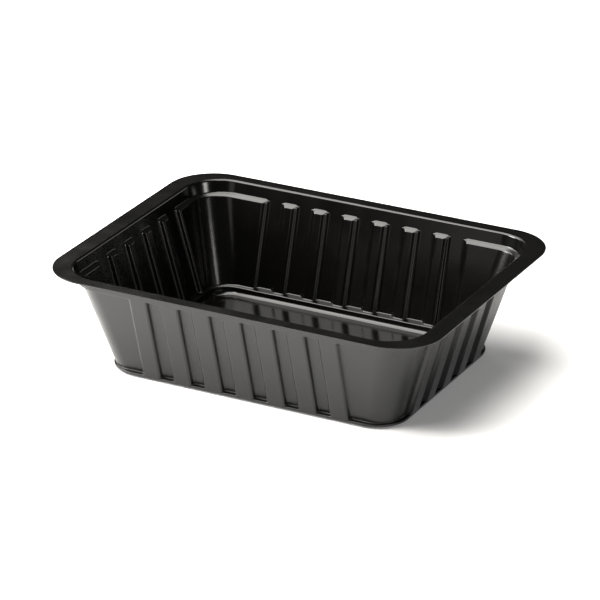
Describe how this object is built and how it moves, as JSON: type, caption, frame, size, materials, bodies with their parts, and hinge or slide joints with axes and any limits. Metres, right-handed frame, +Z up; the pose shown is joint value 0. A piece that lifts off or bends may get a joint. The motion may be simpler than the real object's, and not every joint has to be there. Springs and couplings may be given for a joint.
{
  "type": "food tray",
  "caption": "Empty rectangular thermoformed food tray with a flat sealing flange, sloping fluted walls, a plain collar and a stepped foot ring, in glossy black plastic.",
  "frame": {"origin": "centre of the underside, on the surface the tray stands on", "axes": "+X along the tray's length, +Y across its width, +Z up towards the open mouth"},
  "size_m": [0.19, 0.146, 0.05],
  "materials": {
    "black_plastic": "glossy thermoformed sheet"
  },
  "bodies": {
    "root": {"tray": "black_plastic"}
  },
  "joints": []
}
